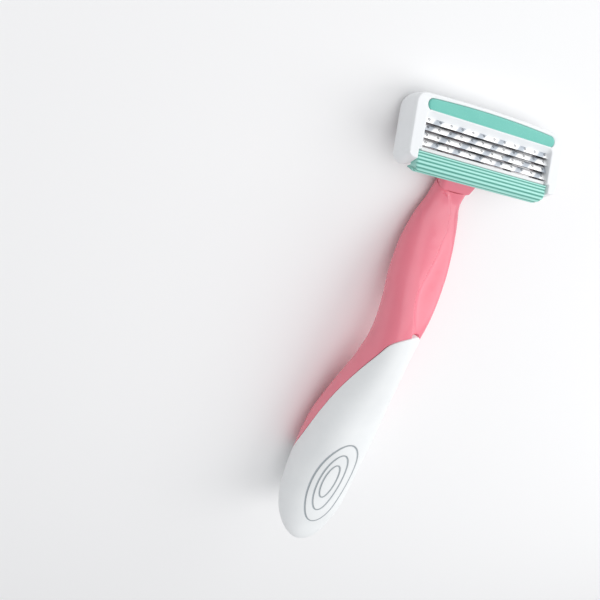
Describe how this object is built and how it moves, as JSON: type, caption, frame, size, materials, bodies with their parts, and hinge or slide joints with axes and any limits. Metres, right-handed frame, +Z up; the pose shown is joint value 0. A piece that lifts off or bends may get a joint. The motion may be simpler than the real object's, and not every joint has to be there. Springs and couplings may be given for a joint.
{
  "type": "cartridge razor",
  "caption": "Wet-shaving razor with a slim pivoting blade cartridge, ribbed rubber guard, lubricating strip and a curved handle with a soft grip.",
  "frame": {"origin": "middle of the bounding box's underside, on the surface that the razor lies on", "axes": "+X across the head, +Y along the handle from the head to the butt, +Z up out of the blades"},
  "size_m": [0.0404, 0.1368, 0.02],
  "materials": {
    "pink_plastic": "glossy moulded plastic",
    "soft_white": "satin soft-touch elastomer",
    "white_plastic": "fine satin moulded plastic",
    "lube_polymer": "waxy lubricating polymer",
    "teal_rubber": "soft ribbed rubber",
    "blade_steel": "ground and coated stainless steel",
    "support_steel": "bent stainless strip",
    "spring_steel": "drawn spring wire"
  },
  "bodies": {
    "handle": {"handle_body": "pink_plastic", "soft_grip": "soft_white", "plunger_spring": "spring_steel", "release_spring": "spring_steel"},
    "connector": {"cartridge_connector": "pink_plastic"},
    "cartridge": {"cartridge_housing": "white_plastic", "cover_frame": "white_plastic", "lube_strip": "lube_polymer", "guard_rubber": "teal_rubber"},
    "blade_unit_1": {"blade_1": "blade_steel", "blade_support_1": "support_steel"},
    "blade_unit_2": {"blade_2": "blade_steel", "blade_support_2": "support_steel"},
    "blade_unit_3": {"blade_3": "blade_steel", "blade_support_3": "support_steel"},
    "blade_unit_4": {"blade_4": "blade_steel", "blade_support_4": "support_steel"},
    "plunger": {"plunger": "white_plastic"},
    "release": {"release_button": "pink_plastic", "ejector_pusher": "white_plastic"}
  },
  "joints": [
    {"name": "cartridge_release", "type": "slide", "parent": "handle", "child": "connector", "axis": [0, -0.9397, 0.342], "range_m": [0, 0.012]},
    {"name": "cartridge_pivot", "type": "hinge", "parent": "connector", "child": "cartridge", "pos_m": [0, -0.05388, 0.00583], "axis": [1, 0, 0], "range_deg": [0, 40], "stiffness_Nm_per_rad": 0.01},
    {"name": "blade_1_float", "type": "slide", "parent": "cartridge", "child": "blade_unit_1", "axis": [0, 0.5519, -0.8339], "range_m": [0, 0.0004], "stiffness_N_per_m": 100},
    {"name": "blade_2_float", "type": "slide", "parent": "cartridge", "child": "blade_unit_2", "axis": [0, 0.5519, -0.8339], "range_m": [0, 0.0004], "stiffness_N_per_m": 100},
    {"name": "blade_3_float", "type": "slide", "parent": "cartridge", "child": "blade_unit_3", "axis": [0, 0.5519, -0.8339], "range_m": [0, 0.0004], "stiffness_N_per_m": 100},
    {"name": "blade_4_float", "type": "slide", "parent": "cartridge", "child": "blade_unit_4", "axis": [0, 0.5519, -0.8339], "range_m": [0, 0.0004], "stiffness_N_per_m": 100},
    {"name": "plunger_slide", "type": "slide", "parent": "handle", "child": "plunger", "axis": [0, 0.9397, -0.342], "range_m": [0, 0.0014], "deforming": ["plunger_spring"]},
    {"name": "release_button_slide", "type": "slide", "parent": "handle", "child": "release", "axis": [0, -1, 0], "range_m": [0, 0.0022], "stiffness_N_per_m": 150, "deforming": ["release_spring"]}
  ],
  "couplings": [
    {"joint": "plunger_slide", "follows": "cartridge_pivot", "m_per_rad": 0.00196}
  ]
}
